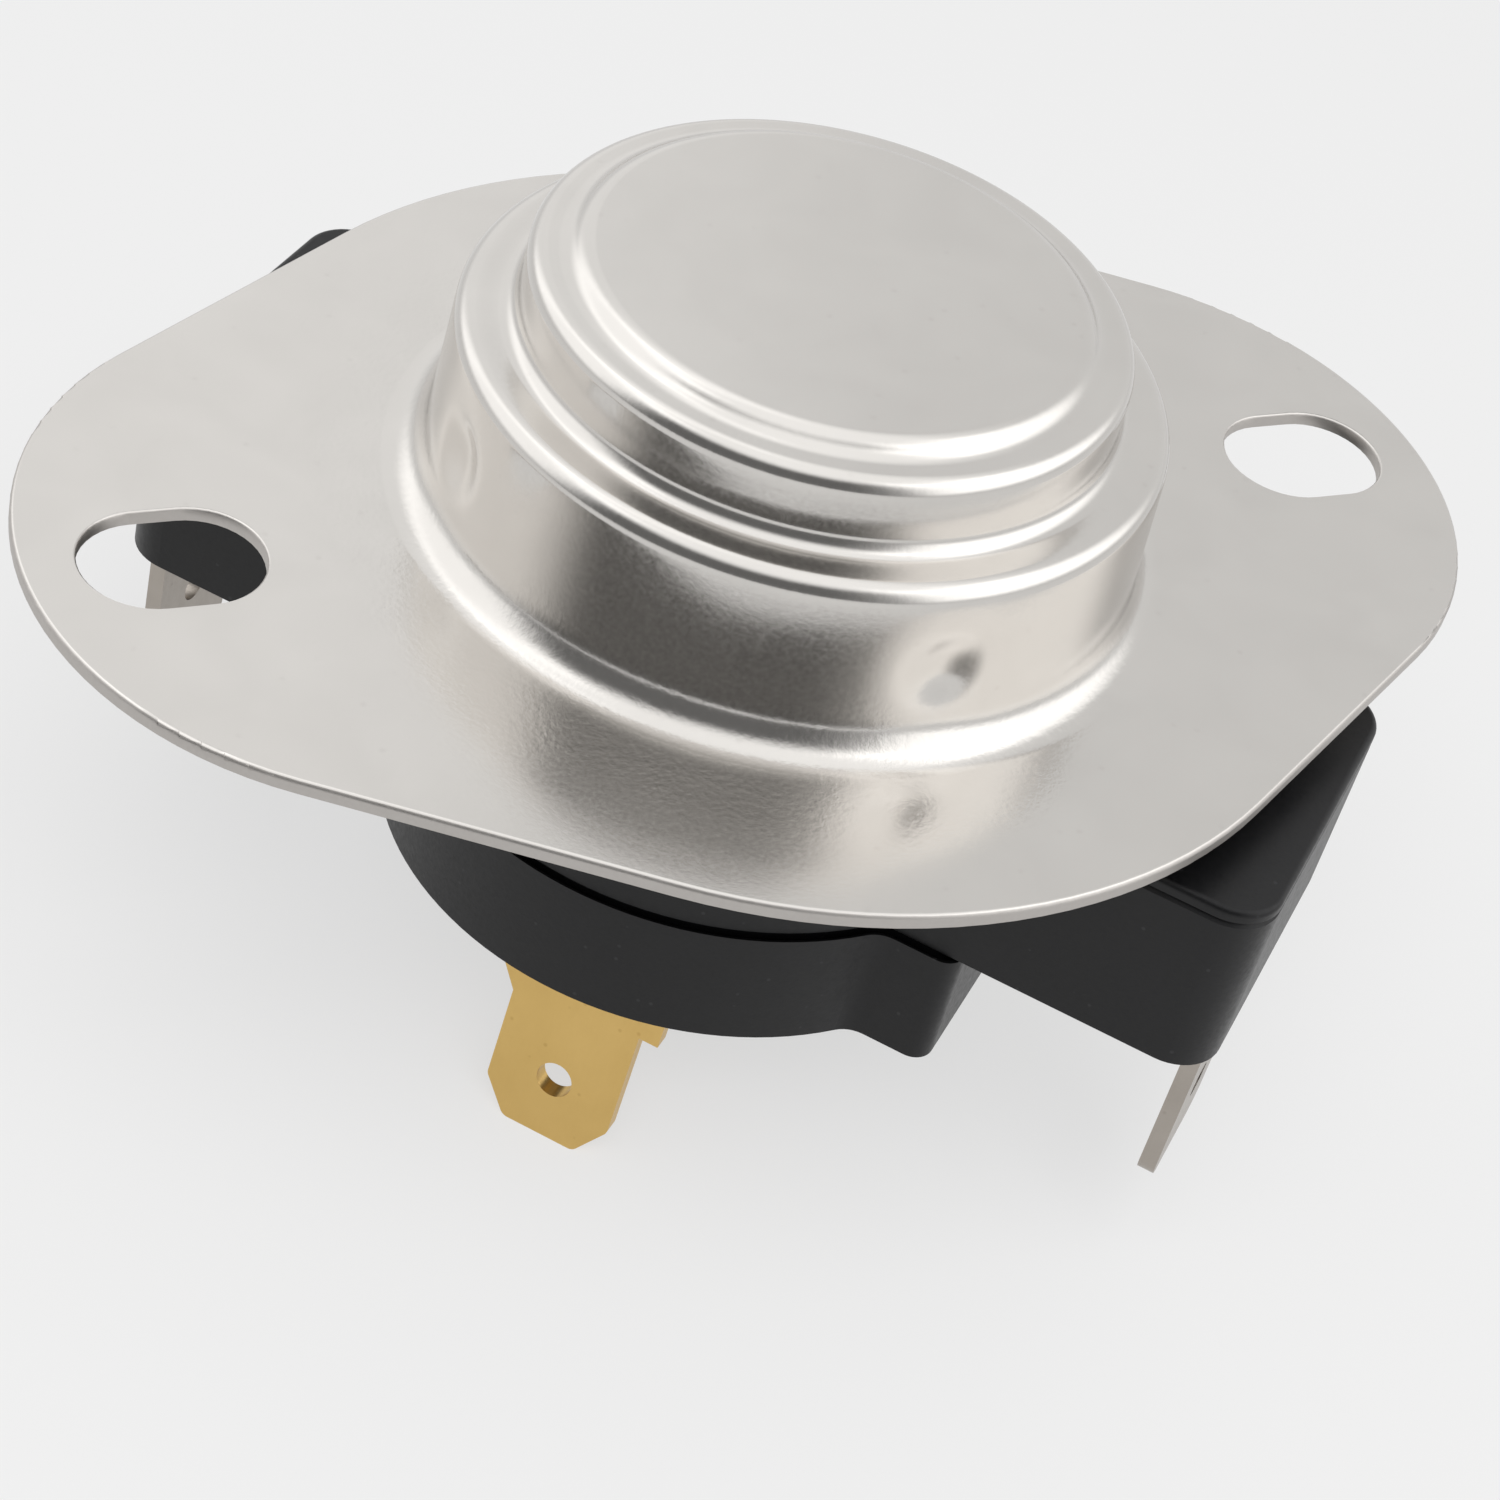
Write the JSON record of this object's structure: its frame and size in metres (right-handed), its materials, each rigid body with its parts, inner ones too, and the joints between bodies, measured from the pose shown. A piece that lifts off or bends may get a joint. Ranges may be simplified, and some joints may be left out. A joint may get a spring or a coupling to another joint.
{
  "type": "bimetal temperature switch",
  "caption": "Disc-type bimetal temperature switch: drawn steel cup with a two-slot flange over a dark moulded switch body, with brass blades below and a bias heater bar across it.",
  "frame": {"origin": "centre of the cup on the upper face of the flange, the face towards the cup", "axes": "+Z along the cup's axis towards the sensing face; +X along the flange through both slots; +Y completes the right-handed frame"},
  "size_m": [0.0676, 0.0508, 0.0409],
  "materials": {
    "cup_steel": "bright drawn sheet steel with faint grain",
    "disc_metal": "rolled bimetal strip, satin",
    "guide_moulding": "tan phenolic moulding",
    "ceramic": "fired ceramic, smooth",
    "black_moulding": "black phenolic moulding, satin",
    "terminal_brass": "stamped brass, satin",
    "bracket_brass": "stamped brass, satin",
    "spring_alloy": "rolled copper alloy spring strip",
    "contact_silver": "silver contact metal",
    "rivet_metal": "plated rivet",
    "tin_plate": "tin-plated strip, satin",
    "winding_wire": "resistance wire",
    "lead_metal": "tinned cap and lead"
  },
  "bodies": {
    "switch_body": {"mounting_cup": "cup_steel", "bimetal_disc": "disc_metal", "pin_guide": "guide_moulding", "resistor_core": "ceramic", "heater_housing": "black_moulding", "end_cover_left": "black_moulding", "end_cover_right": "black_moulding", "switch_case": "black_moulding", "line_terminal": "terminal_brass", "load_terminal": "terminal_brass", "fixed_contact_bracket": "bracket_brass", "fixed_contact": "contact_silver", "line_rivet": "rivet_metal", "load_rivet": "rivet_metal", "case_rivets": "rivet_metal", "bias_terminal_left": "tin_plate", "bias_terminal_right": "tin_plate", "resistor_winding": "winding_wire", "resistor_lead_left": "lead_metal", "resistor_lead_right": "lead_metal"},
    "pin": {"transfer_pin": "ceramic"},
    "arm": {"contact_arm": "spring_alloy", "moving_contact": "contact_silver"}
  },
  "joints": [
    {"name": "pin_slide", "type": "slide", "parent": "switch_body", "child": "pin", "axis": [0, 0, 1], "range_m": [-0.0005, 0], "deforming": ["bimetal_disc"]},
    {"name": "contact_arm_flex", "type": "hinge", "parent": "switch_body", "child": "arm", "pos_m": [0.00667, 0.00605, -0.01515], "axis": [-0.6717, 0.7408, 0], "range_deg": [-3.2, 0], "stiffness_Nm_per_rad": 0.1, "springref_deg": 1.72}
  ],
  "couplings": [
    {"joint": "contact_arm_flex", "follows": "pin_slide", "rad_per_m": 111.1}
  ]
}
